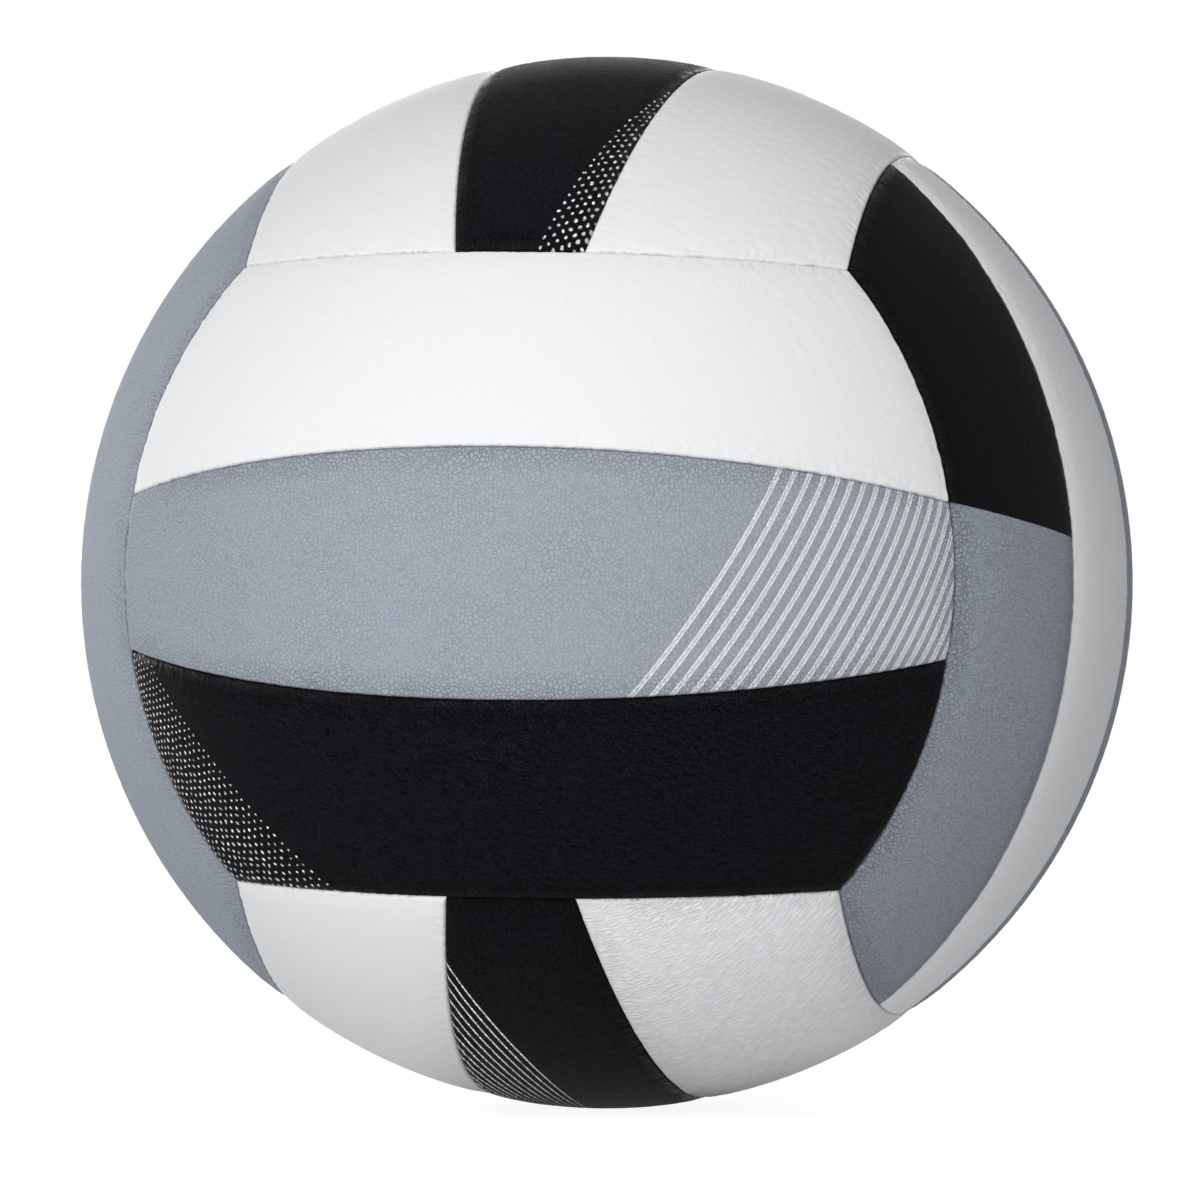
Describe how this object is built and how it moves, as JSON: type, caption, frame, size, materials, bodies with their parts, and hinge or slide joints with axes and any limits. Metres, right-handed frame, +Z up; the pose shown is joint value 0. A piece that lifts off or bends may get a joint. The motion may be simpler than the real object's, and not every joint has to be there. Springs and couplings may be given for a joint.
{
  "type": "indoor volleyball",
  "caption": "Inflated indoor volleyball: sewn leather panels in crossed groups of three, foam backing, wound bladder and needle valve.",
  "frame": {"origin": "centre of the ball", "axes": "+Z up, -Y towards the front group of panels that faces the viewer, +Y out of the needle valve"},
  "size_m": [0.21, 0.21, 0.21],
  "materials": {
    "white_leather": "pebbled synthetic leather, satin",
    "grey_leather": "pebbled synthetic leather, satin",
    "black_leather": "pebbled synthetic leather, satin",
    "foam": "soft closed-cell foam with a cloth face",
    "cotton": "matt thread and cloth",
    "nylon": "wound nylon thread set in latex",
    "butyl": "dull moulded butyl",
    "valve_rubber": "dull moulded rubber",
    "core_rubber": "soft moulded rubber"
  },
  "bodies": {
    "root": {"cover_front_lower": "black_leather", "cover_front_middle": "grey_leather", "cover_front_upper": "white_leather", "cover_back_lower": "black_leather", "cover_back_middle": "grey_leather", "cover_back_upper": "white_leather", "cover_top_right": "white_leather", "cover_top_middle": "black_leather", "cover_top_left": "white_leather", "cover_bottom_right": "white_leather", "cover_bottom_middle": "black_leather", "cover_bottom_left": "white_leather", "cover_right_rear": "grey_leather", "cover_right_middle": "white_leather", "cover_right_front": "black_leather", "cover_left_front": "grey_leather", "cover_left_middle": "white_leather", "cover_left_rear": "black_leather", "foam_front_lower": "foam", "foam_front_middle": "foam", "foam_front_upper": "foam", "foam_back_lower": "foam", "foam_back_middle": "foam", "foam_back_upper": "foam", "foam_top_right": "foam", "foam_top_middle": "foam", "foam_top_left": "foam", "foam_bottom_right": "foam", "foam_bottom_middle": "foam", "foam_bottom_left": "foam", "foam_right_rear": "foam", "foam_right_middle": "foam", "foam_right_front": "foam", "foam_left_front": "foam", "foam_left_middle": "foam", "foam_left_rear": "foam", "seam_thread": "cotton", "winding": "nylon", "bladder": "butyl", "valve_stem": "valve_rubber", "valve_core": "core_rubber", "valve_patch": "cotton"}
  },
  "joints": []
}
